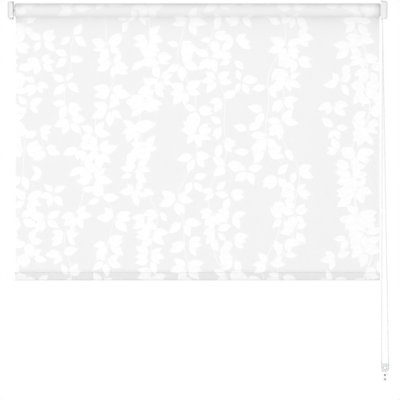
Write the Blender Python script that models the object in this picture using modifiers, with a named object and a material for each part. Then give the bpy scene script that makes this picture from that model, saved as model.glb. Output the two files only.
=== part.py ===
"""Roller blind: a cloth wound on an aluminium tube between two wall brackets, driven by an endless bead chain.

Metres, +Z up, +X to the right along the tube, +Y towards the wall. The origin lies on the wall plane (y = 0)
at the height of the tube's axis, midway between the two ends of the cloth.
"""

import math

import bmesh
import bpy
from mathutils import Matrix, Vector

# ---- driving dimensions -------------------------------------------------------------------------------
CLOTH_WIDTH = 1.200          # cut width of the cloth
HEM_DROP = 0.890             # tube axis down to the lower edge of the hem
AXIS_OUT = 0.040             # tube axis out from the wall
CHAIN_DROP = 1.179           # tube axis down to the tensioner's axle

GAP = 0.0003                 # between pieces that touch
CLOTH_THICK = 0.0005

TUBE_RADIUS = 0.019
TUBE_WALL = 0.0012
TUBE_OVER = 0.0005           # tube end beyond the cloth's edge
WOUND_THICK = 0.004          # wound cloth, about eight layers

# end plug on the idle side (left) and its sprung pin
PLUG_LENGTH = 0.0308
PLUG_FLANGE = 0.0025
PLUG_FLANGE_PROUD = 0.0005   # flange radius beyond the tube's
PLUG_END_WALL = 0.003
PIN_RADIUS = 0.0030
PIN_COLLAR_RADIUS = 0.0046
PIN_COLLAR = 0.003
PIN_TAIL_RADIUS = 0.0022
PIN_TAIL = 0.0116
PIN_REACH = 0.004            # pin tip beyond the bracket's outer face
IDLE_SPRING_WIRE = 0.0004    # wire radius
IDLE_SPRING_TURNS = 7
PLUG_TO_BRACKET = 0.0032

# brackets
PLATE = 0.0025
BRACKET_HALF_HEIGHT = 0.029
BRACKET_FRONT = 0.030        # bracket's front edge in front of the tube's axis
CORNER_RADIUS = 0.0085
LEFT_FLANGE_WIDTH = 0.010
LEFT_FLANGE_CLEARANCE = 0.0012
LEFT_HOLE_Z = 0.017
RIGHT_FLANGE_WIDTH = 0.013
RIGHT_HOLE_Z = 0.019
WALL_HOLE_RADIUS = 0.0022

# covers
COVER_WALL = 0.0018
LEFT_COVER_WIDTH = 0.0157
RIGHT_COVER_ROOM = 0.0012    # between the spindle screw's head and the cover's end wall
RIGHT_COVER_HALF_HEIGHT = 0.031
RIGHT_COVER_FRONT = 0.032    # cover's front in front of the tube's axis
CLIP_WIDTH = 0.011
CLIP_THICK = 0.0014
NOTCH_CLEARANCE = 0.0005

# clutch on the drive side (right)
CROWN_LENGTH = 0.0358
CROWN_FLANGE = 0.0020
CROWN_END_WALL = 0.0020
CROWN_END_BORE = 0.0030
CROWN_BORE = 0.0120
SPINDLE_RADIUS = 0.0075
SPINDLE_FOOT_RADIUS = 0.0120
SPINDLE_FOOT = 0.0031
SLEEVE_LENGTH = 0.0147
WRAP_WIRE = 0.0008           # wire radius
WRAP_TURNS = 4.5
GUARD_RADIUS = 0.0235
GUARD_WALL = 0.0015
GUARD_FACE = 0.0012
GUARD_FACE_BORE = 0.0135
CROWN_TO_GUARD = 0.0004

# bead chain and its wheels
BEAD_DIAMETER = 0.0045
BEAD_PITCH = 0.006
DRIVE_POCKETS = 17
TENSION_POCKETS = 13
GROOVE_CLEARANCE = 0.0003
WHEEL_FLANGE = 0.00175
WHEEL_LIP = 0.0012           # flange thickness at its rim
FLANGE_RISE = 0.0056         # flange rim above the groove's bottom
TENSION_FLANGE_RISE = 0.0044
POCKET_RADIUS = 0.0031
WINDOW_CLEARANCE = 0.0015    # round the chain where it leaves the guard and the cover
CONNECTOR_DROP = 0.665       # tube axis down to the chain connector
CONNECTOR_LENGTH = 0.014
CONNECTOR_RADIUS = 0.0034

# tensioner
TENSIONER_X = 0.019          # centre beyond the cloth's right edge
TENSION_PLANE = 0.011        # chain plane out from the wall
TENSIONER_BACK = 0.0030
TENSIONER_FRONT = 0.0015
TENSIONER_SIDE = 0.0013
TENSIONER_RISE = 0.021       # top edge above the axle
TENSIONER_TAB_DEPTH = 0.050  # bottom edge below the axle
TENSIONER_TAB_HALF = 0.011
TENSIONER_TAB_THICK = 0.0040
TENSIONER_GUIDE_HALF = 0.0085
TENSIONER_GUIDE = 0.005
TENSION_AXLE_RADIUS = 0.0025
TENSION_BOSS_RADIUS = 0.0055
TENSIONER_SCREWS = (0.024, 0.038)   # below the axle

# hem
HEM_HEIGHT = 0.0266
HEM_THICK = 0.0086
HEM_CLOTH = 0.0006
BAR_WALL = 0.0012
BAR_CAP_LEFT = 0.0035
BAR_CAP_RIGHT = 0.0010
BAR_TONGUE = 0.012

SCREW_SHANK = 0.0017
SCREW_HEAD_RADIUS = 0.0037
SCREW_HEAD = 0.0024
SCREW_IN_WALL = 0.022
SPINDLE_SCREW_SHANK = 0.0014
SPINDLE_SCREW_LENGTH = 0.0168

ROUND = 48                   # segments of a large round piece
SMALL_ROUND = 24

# ---- places worked out from them ----------------------------------------------------------------------
HALF = CLOTH_WIDTH / 2
ROLL_RADIUS = TUBE_RADIUS + WOUND_THICK
BRACKET_DEPTH = AXIS_OUT + BRACKET_FRONT
RIGHT_COVER_DEPTH = AXIS_OUT + RIGHT_COVER_FRONT
AXIS = Vector((0, -AXIS_OUT, 0))
TUBE_END = HALF + TUBE_OVER
TUBE_BORE = TUBE_RADIUS - TUBE_WALL
PLUG_RADIUS = TUBE_BORE - GAP
FLANGE_RADIUS = TUBE_RADIUS + PLUG_FLANGE_PROUD

PLUG_OUT = TUBE_END + GAP + PLUG_FLANGE
LEFT_PLATE_IN = PLUG_OUT + PLUG_TO_BRACKET
LEFT_PLATE_OUT = LEFT_PLATE_IN + PLATE

CROWN_OUT = TUBE_END + GAP + CROWN_FLANGE
GUARD_IN = CROWN_OUT + CROWN_TO_GUARD
WHEEL_IN = GUARD_IN + GUARD_FACE + GAP
GROOVE_HALF = BEAD_DIAMETER / 2 + GROOVE_CLEARANCE
CHAIN_X = WHEEL_IN + WHEEL_FLANGE + GROOVE_HALF
WHEEL_OUT = CHAIN_X + GROOVE_HALF + WHEEL_FLANGE
RIGHT_PLATE_IN = WHEEL_OUT + GAP + SPINDLE_FOOT + GAP
RIGHT_PLATE_OUT = RIGHT_PLATE_IN + PLATE
RIGHT_COVER_OUT = RIGHT_PLATE_OUT + GAP + SCREW_HEAD + RIGHT_COVER_ROOM + COVER_WALL
LEFT_COVER_OUT = LEFT_PLATE_OUT + GAP + LEFT_COVER_WIDTH

DRIVE_RADIUS = DRIVE_POCKETS * BEAD_PITCH / (2 * math.pi)
CHAIN_WINDOW = DRIVE_RADIUS + BEAD_DIAMETER / 2 + WINDOW_CLEARANCE
TENSION_RADIUS = TENSION_POCKETS * BEAD_PITCH / (2 * math.pi)
TENSIONER_CENTRE = Vector((HALF + TENSIONER_X, -TENSION_PLANE, -CHAIN_DROP))

SHEET_Y = -AXIS_OUT + ROLL_RADIUS + GAP + CLOTH_THICK / 2
HEM_TOP = -HEM_DROP + HEM_HEIGHT


# ---- helpers ------------------------------------------------------------------------------------------
def clear_scene():
    for old in list(bpy.data.objects):
        bpy.data.objects.remove(old, do_unlink=True)


def new_collection(name):
    made = bpy.data.collections.new(name)
    bpy.context.scene.collection.children.link(made)
    return made


def finish_of(name, colour, roughness, metallic=0.0, alpha=1.0):
    made = bpy.data.materials.new(name)
    made.use_nodes = True
    shader = made.node_tree.nodes["Principled BSDF"]
    shader.inputs["Base Color"].default_value = (*colour, 1)
    shader.inputs["Roughness"].default_value = roughness
    shader.inputs["Metallic"].default_value = metallic
    shader.inputs["Alpha"].default_value = alpha
    return made


WHITE_PLASTIC = ((0.86, 0.86, 0.85), 0.3)
CLEAR_PLASTIC = ((0.92, 0.94, 0.95), 0.12, 0.0, 0.45)
CHAIN_PLASTIC = ((0.84, 0.84, 0.84), 0.35)
ZINC_STEEL = ((0.55, 0.56, 0.58), 0.38, 0.9)
SPRING_STEEL = ((0.4, 0.41, 0.43), 0.3, 1.0)
ALUMINIUM = ((0.78, 0.79, 0.8), 0.32, 0.9)
CLOTH = ((0.84, 0.84, 0.84), 0.9)


def place(obj, collection, finish=None):
    collection.objects.link(obj)
    if finish is not None:
        obj.data.materials.append(finish_of(obj.name, *finish))
    return obj


def as_object(name, bm, collection, finish=None, location=(0, 0, 0)):
    bmesh.ops.recalc_face_normals(bm, faces=bm.faces)
    bmesh.ops.translate(bm, verts=bm.verts, vec=-Vector(location))
    mesh = bpy.data.meshes.new(name)
    bm.to_mesh(mesh)
    bm.free()
    obj = bpy.data.objects.new(name, mesh)
    obj.location = location
    return place(obj, collection, finish)


def box_mesh(low, high):
    low, high = Vector(low), Vector(high)
    bm = bmesh.new()
    bmesh.ops.create_cube(bm, size=1.0)
    bmesh.ops.scale(bm, vec=high - low, verts=bm.verts)
    bmesh.ops.translate(bm, vec=(low + high) / 2, verts=bm.verts)
    return bm


def round_edges(bm, chosen, radius, segments=5):
    edges = [e for e in bm.edges if chosen(e.verts[0].co, e.verts[1].co)]
    bmesh.ops.bevel(bm, geom=edges, offset=radius, segments=segments, profile=0.5, affect="EDGES")


def in_plane(a, b, axis, value):
    return abs(a[axis] - value) < 1e-6 and abs(b[axis] - value) < 1e-6


def drop_faces(bm, axis, value):
    flat = [f for f in bm.faces if all(abs(v.co[axis] - value) < 1e-6 for v in f.verts)]
    bmesh.ops.delete(bm, geom=flat, context="FACES")


def smooth(obj, angle=0.6):
    obj.data.shade_smooth()
    obj.data.set_sharp_from_angle(angle=angle)
    return obj


def cut_with(obj, cutter, operation="DIFFERENCE"):
    step = obj.modifiers.new(cutter.name, "BOOLEAN")
    step.operation = operation
    step.object = cutter
    return obj


def cutter_box(name, low, high):
    made = as_object(name, box_mesh(low, high), cutters)
    return as_cutter(made)


def as_cutter(obj):
    obj.hide_render = True
    obj.display_type = "WIRE"
    return obj


AXIS_TURN = {"X": (0, math.pi / 2, 0), "Y": (-math.pi / 2, 0, 0)}


def turned(name, profile, axis, location, collection, finish=None, closed=False, steps=ROUND):
    """Turns a profile of (place along the axis, radius), which runs down its outer side, about X or Y."""
    along = {"X": 0, "Y": 1}[axis]
    verts = [(radius, 0, place_on - location[along]) for place_on, radius in profile]
    count = len(verts)
    edges = [(i, (i + 1) % count) for i in range(count if closed else count - 1)]
    mesh = bpy.data.meshes.new(name)
    mesh.from_pydata(verts, edges, [])
    obj = bpy.data.objects.new(name, mesh)
    obj.location = location
    obj.rotation_euler = AXIS_TURN[axis]
    screw = obj.modifiers.new("turn", "SCREW")
    screw.steps = steps
    screw.render_steps = steps
    screw.use_merge_vertices = True
    screw.merge_threshold = 0.00001
    screw.use_smooth_shade = True
    return place(obj, collection, finish)


def wire(name, points, radius, collection, finish, location=(0, 0, 0)):
    curve = bpy.data.curves.new(name, "CURVE")
    curve.dimensions = "3D"
    curve.bevel_depth = radius
    curve.bevel_resolution = 2
    curve.render_resolution_u = 0
    curve.use_fill_caps = True
    line = curve.splines.new("POLY")
    line.points.add(len(points) - 1)
    for spot, p in zip(line.points, points, strict=True):
        spot.co = (*(Vector(p) - Vector(location)), 1)
    obj = bpy.data.objects.new(name, curve)
    obj.location = location
    return place(obj, collection, finish)


def coil_points(start, end, radius, turns, per_turn):
    """A helix about the tube's axis from x = start to x = end."""
    count = round(turns * per_turn) + 1
    points = []
    for i in range(count):
        share = i / (count - 1)
        angle = 2 * math.pi * turns * share
        points.append((start + (end - start) * share,
                       AXIS.y + radius * math.cos(angle), radius * math.sin(angle)))
    return points


def pocket_cutter(name, pockets, pitch_radius, centre, spin_axis):
    """One ball for each bead pocket, spaced round a chain wheel."""
    bm = bmesh.new()
    for i in range(pockets):
        turn = Matrix.Rotation(2 * math.pi * i / pockets, 4, spin_axis)
        spot = Matrix.Translation(Vector(centre)) @ turn @ Matrix.Translation((0, 0, pitch_radius))
        bmesh.ops.create_uvsphere(bm, u_segments=8, v_segments=6, radius=POCKET_RADIUS, matrix=spot)
    return as_cutter(as_object(name, bm, cutters, location=centre))


def empty_at(name, location):
    """Marks a joint's axis; its moving pieces are parented to it."""
    made = bpy.data.objects.new(name, None)
    made.location = location
    made.empty_display_size = 0.02
    parts.objects.link(made)
    return made


def hang_on(empty, *objs):
    for obj in objs:
        obj.parent = empty
        obj.location = Vector(obj.location) - Vector(empty.location)


# ---- roller -------------------------------------------------------------------------------------------
def make_tube():
    inner = TUBE_BORE
    return turned("roller_tube", [(TUBE_END, TUBE_RADIUS), (-TUBE_END, TUBE_RADIUS),
                                  (-TUBE_END, inner), (TUBE_END, inner)],
                  "X", AXIS, parts, ALUMINIUM, closed=True)


def make_fabric_roll():
    inner = TUBE_RADIUS + GAP
    return turned("fabric_roll", [(HALF, ROLL_RADIUS), (-HALF, ROLL_RADIUS), (-HALF, inner), (HALF, inner)],
                  "X", AXIS, parts, CLOTH, closed=True)


def make_idle_plug():
    flange_in = -(TUBE_END + GAP)
    cavity_out = -(PLUG_OUT - PLUG_END_WALL - GAP)
    deep = -PLUG_OUT + PLUG_FLANGE + PLUG_LENGTH
    cavity_radius = PIN_COLLAR_RADIUS + GAP
    bore = PIN_RADIUS + GAP
    profile = [(deep, 0), (deep, PLUG_RADIUS), (flange_in, PLUG_RADIUS), (flange_in, FLANGE_RADIUS),
               (-PLUG_OUT, FLANGE_RADIUS), (-PLUG_OUT, bore), (cavity_out, bore),
               (cavity_out, cavity_radius), (deep - PLUG_END_WALL, cavity_radius), (deep - PLUG_END_WALL, 0)]
    return turned("idle_plug", profile, "X", AXIS, parts, WHITE_PLASTIC)


def make_idle_pin():
    collar_out = -(PLUG_OUT - PLUG_END_WALL - 2 * GAP)
    collar_in = collar_out + PIN_COLLAR
    tail = collar_in + PIN_TAIL
    tip = -(LEFT_PLATE_OUT + PIN_REACH)
    chamfer = PIN_RADIUS - PIN_TAIL_RADIUS
    profile = [(tail, 0), (tail, PIN_TAIL_RADIUS), (collar_in, PIN_TAIL_RADIUS), (collar_in, PIN_COLLAR_RADIUS),
               (collar_out, PIN_COLLAR_RADIUS), (collar_out, PIN_RADIUS), (tip + chamfer, PIN_RADIUS),
               (tip, PIN_TAIL_RADIUS), (tip, 0)]
    return turned("idle_pin", profile, "X", AXIS, parts, ZINC_STEEL, steps=SMALL_ROUND)


def make_idle_spring():
    start = -(PLUG_OUT - PLUG_END_WALL - 2 * GAP) + PIN_COLLAR + GAP + IDLE_SPRING_WIRE
    end = -PLUG_OUT + PLUG_FLANGE + PLUG_LENGTH - PLUG_END_WALL - GAP - IDLE_SPRING_WIRE
    radius = PIN_TAIL_RADIUS + GAP + IDLE_SPRING_WIRE * 1.5
    return wire("idle_spring", coil_points(start, end, radius, IDLE_SPRING_TURNS, 10),
                IDLE_SPRING_WIRE, parts, SPRING_STEEL, AXIS)


def make_drive_crown():
    deep = CROWN_OUT - CROWN_FLANGE - CROWN_LENGTH
    flange_in = TUBE_END + GAP
    profile = [(CROWN_OUT, FLANGE_RADIUS), (flange_in, FLANGE_RADIUS), (flange_in, PLUG_RADIUS),
               (deep, PLUG_RADIUS), (deep, CROWN_END_BORE), (deep + CROWN_END_WALL, CROWN_END_BORE),
               (deep + CROWN_END_WALL, CROWN_BORE), (CROWN_OUT, CROWN_BORE)]
    return turned("drive_crown", profile, "X", AXIS, parts, WHITE_PLASTIC, closed=True)


def make_wrap_springs():
    """Two springs wound on the fixed spindle, one for each way the load can turn it."""
    radius = SPINDLE_RADIUS + GAP + WRAP_WIRE * 1.1
    first = CROWN_OUT - CROWN_FLANGE - CROWN_LENGTH + CROWN_END_WALL + GAP + WRAP_WIRE
    last = WHEEL_IN - SLEEVE_LENGTH - GAP - WRAP_WIRE
    middle = (first + last) / 2
    half_space = WRAP_WIRE + GAP
    spans = [(first, middle - half_space), (middle + half_space, last)]
    return [wire(f"wrap_spring_{i + 1}", coil_points(a, b, radius, WRAP_TURNS, 12),
                 WRAP_WIRE, parts, SPRING_STEEL, AXIS) for i, (a, b) in enumerate(spans)]


# ---- clutch -------------------------------------------------------------------------------------------
def make_chain_wheel():
    bottom = DRIVE_RADIUS - BEAD_DIAMETER / 2 - 1.5 * GROOVE_CLEARANCE
    rim = bottom + FLANGE_RISE
    sleeve = CROWN_BORE - GAP
    bore = SPINDLE_RADIUS + GAP
    end = WHEEL_IN - SLEEVE_LENGTH
    profile = [(WHEEL_OUT, rim), (WHEEL_OUT - WHEEL_LIP, rim), (CHAIN_X + GROOVE_HALF, bottom),
               (CHAIN_X - GROOVE_HALF, bottom), (WHEEL_IN + WHEEL_LIP, rim), (WHEEL_IN, rim),
               (WHEEL_IN, sleeve), (end, sleeve), (end, bore), (WHEEL_OUT, bore)]
    wheel = turned("chain_wheel", profile, "X", AXIS, parts, WHITE_PLASTIC, closed=True, steps=34)
    balls = pocket_cutter("drive_pockets", DRIVE_POCKETS, DRIVE_RADIUS, (CHAIN_X, AXIS.y, 0), "X")
    return cut_with(wheel, balls)


def make_spindle():
    foot_in = WHEEL_OUT + GAP
    foot_out = foot_in + SPINDLE_FOOT
    tip = CROWN_OUT - CROWN_FLANGE - CROWN_LENGTH + CROWN_END_WALL + 5 * GAP
    hole = SPINDLE_SCREW_SHANK + GAP
    hole_end = foot_out - SPINDLE_SCREW_LENGTH + PLATE
    profile = [(hole_end, 0), (hole_end, hole), (foot_out, hole), (foot_out, SPINDLE_FOOT_RADIUS),
               (foot_in, SPINDLE_FOOT_RADIUS), (foot_in, SPINDLE_RADIUS), (tip, SPINDLE_RADIUS), (tip, 0)]
    return turned("clutch_spindle", profile, "X", AXIS, parts, WHITE_PLASTIC)


def make_spindle_screw():
    seat = RIGHT_PLATE_OUT + GAP
    out = seat + SCREW_HEAD
    end = seat - SPINDLE_SCREW_LENGTH + PLATE
    profile = [(out, 0), (out, SCREW_HEAD_RADIUS * 0.55), (out - SCREW_HEAD * 0.4, SCREW_HEAD_RADIUS),
               (seat, SCREW_HEAD_RADIUS), (seat, SPINDLE_SCREW_SHANK), (end, SPINDLE_SCREW_SHANK), (end, 0)]
    return turned("spindle_screw", profile, "X", AXIS, parts, ZINC_STEEL, steps=SMALL_ROUND)


def make_chain_guard():
    out = RIGHT_PLATE_IN - GAP
    inner = GUARD_RADIUS - GUARD_WALL
    face = GUARD_IN + GUARD_FACE
    profile = [(out, GUARD_RADIUS), (GUARD_IN, GUARD_RADIUS), (GUARD_IN, GUARD_FACE_BORE),
               (face, GUARD_FACE_BORE), (face, inner), (out, inner)]
    guard = turned("chain_guard", profile, "X", AXIS, parts, WHITE_PLASTIC, closed=True)
    window_top = -math.sqrt(inner * inner - (CHAIN_WINDOW - WINDOW_CLEARANCE) ** 2) + WINDOW_CLEARANCE
    window = cutter_box("guard_window", (CHAIN_X - GROOVE_HALF - GAP, AXIS.y - CHAIN_WINDOW, -2 * GUARD_RADIUS),
                        (out + PLATE, AXIS.y + CHAIN_WINDOW, window_top))
    return cut_with(guard, window)


# ---- brackets and covers ------------------------------------------------------------------------------
def plate_with_round_front(low, high, radius):
    """A plate across the tube: its two corners away from the wall are rounded."""
    bm = box_mesh(low, high)
    front = low[1]
    round_edges(bm, lambda a, b: in_plane(a, b, 1, front) and in_plane(a, b, 2, a.z), radius, 6)
    return bm


def make_left_bracket():
    plate = as_object("left_bracket", plate_with_round_front(
        (-LEFT_PLATE_OUT, -BRACKET_DEPTH, -BRACKET_HALF_HEIGHT),
        (-LEFT_PLATE_IN, 0, BRACKET_HALF_HEIGHT), CORNER_RADIUS), parts, ZINC_STEEL)
    flange_out = LEFT_PLATE_OUT + LEFT_FLANGE_WIDTH
    flange_half = (BRACKET_HALF_HEIGHT - COVER_WALL - LEFT_FLANGE_CLEARANCE
                   - drawn_in(LEFT_COVER_OUT, flange_out))
    flange = as_cutter(as_object("left_flange", box_mesh(
        (-flange_out, -PLATE, -flange_half), (-LEFT_PLATE_IN, 0, flange_half)), cutters))
    cut_with(plate, flange, "UNION")
    cut_with(plate, hole_cutter("left_pin_hole", "X", (-LEFT_PLATE_OUT, AXIS.y, 0), PIN_RADIUS + GAP))
    hole_x = -LEFT_PLATE_OUT - LEFT_FLANGE_WIDTH / 2
    for name, sign in (("upper", 1), ("lower", -1)):
        cut_with(plate, hole_cutter(f"left_{name}_hole", "Y", (hole_x, 0, sign * LEFT_HOLE_Z), WALL_HOLE_RADIUS))
        edge = sign * BRACKET_HALF_HEIGHT
        deep = sign * (BRACKET_HALF_HEIGHT - CLIP_THICK - 2 * NOTCH_CLEARANCE)
        half = CLIP_WIDTH / 2 + NOTCH_CLEARANCE
        cut_with(plate, cutter_box(f"left_{name}_notch",
                                   (-LEFT_PLATE_OUT - PLATE, AXIS.y - half, min(deep, 2 * edge)),
                                   (-LEFT_PLATE_IN + PLATE, AXIS.y + half, max(deep, 2 * edge))))
    return plate


def make_right_bracket():
    inset = COVER_WALL + GAP + drawn_in(RIGHT_COVER_OUT, RIGHT_PLATE_OUT)
    half_height = RIGHT_COVER_HALF_HEIGHT - inset
    front = -(RIGHT_COVER_DEPTH - inset)
    plate = as_object("right_bracket", plate_with_round_front(
        (RIGHT_PLATE_IN, front, -half_height), (RIGHT_PLATE_OUT, 0, half_height),
        CORNER_RADIUS), parts, ZINC_STEEL)
    flange = as_cutter(as_object("right_flange", box_mesh(
        (RIGHT_PLATE_IN - RIGHT_FLANGE_WIDTH, -PLATE, -half_height),
        (RIGHT_PLATE_OUT, 0, half_height)), cutters))
    cut_with(plate, flange, "UNION")
    cut_with(plate, hole_cutter("spindle_screw_hole", "X", (RIGHT_PLATE_IN, AXIS.y, 0), SPINDLE_SCREW_SHANK + GAP))
    hole_x = RIGHT_PLATE_IN - RIGHT_FLANGE_WIDTH / 2
    for name, sign in (("upper", 1), ("lower", -1)):
        cut_with(plate, hole_cutter(f"right_{name}_hole", "Y", (hole_x, 0, sign * RIGHT_HOLE_Z),
                                    WALL_HOLE_RADIUS))
    return plate


def hole_cutter(name, axis, location, radius):
    """A round cutter three plates long each way, centred where the hole is."""
    reach = 3 * PLATE
    centre = location[0] if axis == "X" else location[1]
    profile = [(centre + reach, 0), (centre + reach, radius), (centre - reach, radius), (centre - reach, 0)]
    return as_cutter(turned(name, profile, axis, location, cutters, steps=SMALL_ROUND))


def drawn_in(cover_out, place):
    """How far a cover's inner face has curved in, at a distance `place` from the blind's middle."""
    inner = CORNER_RADIUS - COVER_WALL
    past = max(0.0, place - (cover_out - CORNER_RADIUS))
    return inner - math.sqrt(inner * inner - past * past)


def cover_shell(name, open_x, outer_x, depth, half_height):
    """A rounded cap, open on the side that faces the roller and on the side that faces the wall."""
    wall_y = -GAP
    low = (min(open_x, outer_x), -depth, -half_height)
    high = (max(open_x, outer_x), wall_y, half_height)
    bm = box_mesh(low, high)
    round_edges(bm, lambda a, b: not in_plane(a, b, 0, open_x) and not in_plane(a, b, 1, wall_y),
                CORNER_RADIUS, 4)
    drop_faces(bm, 0, open_x)
    drop_faces(bm, 1, wall_y)
    shell = as_object(name, bm, parts, WHITE_PLASTIC)
    solid = shell.modifiers.new("wall", "SOLIDIFY")
    solid.thickness = COVER_WALL
    solid.offset = -1
    solid.use_even_offset = True
    return smooth(shell)


def make_left_cover():
    rim = -(LEFT_PLATE_OUT + GAP)
    cover = cover_shell("left_cover", rim, -LEFT_COVER_OUT, BRACKET_DEPTH, BRACKET_HALF_HEIGHT)
    for name, sign in (("upper", 1), ("lower", -1)):
        top = sign * (BRACKET_HALF_HEIGHT - GAP / 2)
        under = sign * (BRACKET_HALF_HEIGHT - GAP / 2 - CLIP_THICK)
        clip = as_cutter(as_object(f"{name}_clip", box_mesh(
            (rim - COVER_WALL, AXIS.y - CLIP_WIDTH / 2, min(top, under)),
            (-LEFT_PLATE_IN, AXIS.y + CLIP_WIDTH / 2, max(top, under))), cutters))
        cut_with(cover, clip, "UNION")
    return cover


def make_right_cover():
    rim = GUARD_IN - GAP
    cover = cover_shell("right_cover", rim, RIGHT_COVER_OUT, RIGHT_COVER_DEPTH, RIGHT_COVER_HALF_HEIGHT)
    window = cutter_box("cover_window",
                        (rim - PLATE, AXIS.y - CHAIN_WINDOW, -2 * RIGHT_COVER_HALF_HEIGHT),
                        (CHAIN_X + GROOVE_HALF + 2 * GAP, AXIS.y + CHAIN_WINDOW, -RIGHT_COVER_HALF_HEIGHT / 2))
    return cut_with(cover, window)


def make_wall_screw(name, x, z, seat):
    """A pan-head screw: its head is `seat` out from the wall and its shank runs into the wall."""
    head = -seat - SCREW_HEAD
    profile = [(SCREW_IN_WALL, 0), (SCREW_IN_WALL - 2 * SCREW_SHANK, SCREW_SHANK), (-seat, SCREW_SHANK),
               (-seat, SCREW_HEAD_RADIUS), (head + SCREW_HEAD * 0.4, SCREW_HEAD_RADIUS),
               (head, SCREW_HEAD_RADIUS * 0.55), (head, 0)]
    return turned(name, profile, "Y", Vector((x, 0, z)), parts, ZINC_STEEL, steps=16)


def make_bracket_screws():
    sides = (("left", -LEFT_PLATE_OUT - LEFT_FLANGE_WIDTH / 2, LEFT_HOLE_Z),
             ("right", RIGHT_PLATE_IN - RIGHT_FLANGE_WIDTH / 2, RIGHT_HOLE_Z))
    return [make_wall_screw(f"{side}_bracket_screw_{n + 1}", x, sign * z, PLATE + GAP)
            for side, x, z in sides for n, sign in enumerate((1, -1))]


# ---- tensioner ----------------------------------------------------------------------------------------
def tensioner_outline(half_width, low_z, high_z, back, front, radius):
    """A box in front of the wall whose two lower corners are rounded."""
    centre = TENSIONER_CENTRE.x
    bm = box_mesh((centre - half_width, -front, low_z), (centre + half_width, -back, high_z))
    round_edges(bm, lambda a, b: in_plane(a, b, 2, low_z) and in_plane(a, b, 0, a.x), radius, 8)
    return bm


def make_tensioner():
    axle_z = TENSIONER_CENTRE.z
    room = TENSION_RADIUS + BEAD_DIAMETER / 2 + 2 * GAP
    side = room + TENSIONER_SIDE
    depth = 2 * TENSION_PLANE - 2 * TENSIONER_BACK
    top = axle_z + TENSIONER_RISE
    centre = TENSIONER_CENTRE.x
    body = as_object("tensioner_body", tensioner_outline(side, axle_z - side, top, 0, depth, side * 0.9),
                     parts, CLEAR_PLASTIC)
    pocket = as_cutter(as_object("wheel_pocket", tensioner_outline(
        room, axle_z - room, top + TENSIONER_RISE, TENSIONER_BACK, 2 * depth, room * 0.9), cutters))
    cut_with(body, pocket)
    guide = as_cutter(as_object("chain_guide", box_mesh(
        (centre - TENSIONER_GUIDE_HALF, -depth, top - TENSIONER_GUIDE),
        (centre + TENSIONER_GUIDE_HALF, -TENSIONER_BACK / 2, top)), cutters))
    cut_with(body, guide, "UNION")
    tab = as_cutter(as_object("screw_tab", tensioner_outline(
        TENSIONER_TAB_HALF, axle_z - TENSIONER_TAB_DEPTH, axle_z - room - GAP, 0, TENSIONER_TAB_THICK,
        CORNER_RADIUS), cutters))
    cut_with(body, tab, "UNION")
    for n, below in enumerate(TENSIONER_SCREWS):
        cut_with(body, hole_cutter(f"tab_hole_{n + 1}", "Y", (centre, 0, axle_z - below), WALL_HOLE_RADIUS))
    axle_hole = TENSION_AXLE_RADIUS + GAP
    socket = [(-2 * GAP, 0), (-2 * GAP, axle_hole), (-depth, axle_hole), (-depth, 0)]
    cut_with(body, as_cutter(turned("axle_socket", socket, "Y", (centre, 0, axle_z), cutters,
                                    steps=SMALL_ROUND)))
    face = depth + GAP
    front = as_object("tensioner_front", tensioner_outline(side, axle_z - side, top, face,
                                                           face + TENSIONER_FRONT, side * 0.9),
                      parts, CLEAR_PLASTIC)
    cut_with(front, hole_cutter("front_axle_hole", "Y", (centre, -face, axle_z), axle_hole))
    head = face + TENSIONER_FRONT + GAP
    head_radius = TENSION_AXLE_RADIUS * 1.8
    axle_profile = [(-3 * GAP, 0), (-3 * GAP, TENSION_AXLE_RADIUS), (-head, TENSION_AXLE_RADIUS),
                    (-head, head_radius), (-head - 4 * GAP, head_radius * 0.85), (-head - 4 * GAP, 0)]
    axle = turned("tensioner_axle", axle_profile, "Y", (centre, 0, axle_z), parts, ZINC_STEEL,
                  steps=SMALL_ROUND)
    screws = [make_wall_screw(f"tensioner_screw_{n + 1}", centre, axle_z - below, TENSIONER_TAB_THICK + GAP)
              for n, below in enumerate(TENSIONER_SCREWS)]
    return [body, front, axle, *screws], depth


def make_tensioner_wheel(depth):
    plane = TENSIONER_CENTRE.y
    bottom = TENSION_RADIUS - BEAD_DIAMETER / 2 - 1.5 * GROOVE_CLEARANCE
    rim = bottom + TENSION_FLANGE_RISE
    side = GROOVE_HALF + WHEEL_FLANGE * 0.8
    lip = WHEEL_LIP * 0.6
    bore = TENSION_AXLE_RADIUS + GAP
    boss_back, boss_front = -TENSIONER_BACK - GAP, -depth + GAP
    profile = [(plane + side, rim), (plane + side - lip, rim), (plane + GROOVE_HALF, bottom),
               (plane - GROOVE_HALF, bottom), (plane - side + lip, rim), (plane - side, rim),
               (plane - side, TENSION_BOSS_RADIUS), (boss_front, TENSION_BOSS_RADIUS), (boss_front, bore),
               (boss_back, bore), (boss_back, TENSION_BOSS_RADIUS), (plane + side, TENSION_BOSS_RADIUS)]
    wheel = turned("tensioner_wheel", profile, "Y", TENSIONER_CENTRE, parts, WHITE_PLASTIC,
                   closed=True, steps=26)
    balls = pocket_cutter("tension_pockets", TENSION_POCKETS, TENSION_RADIUS, TENSIONER_CENTRE, "Y")
    return cut_with(wheel, balls)


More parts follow.
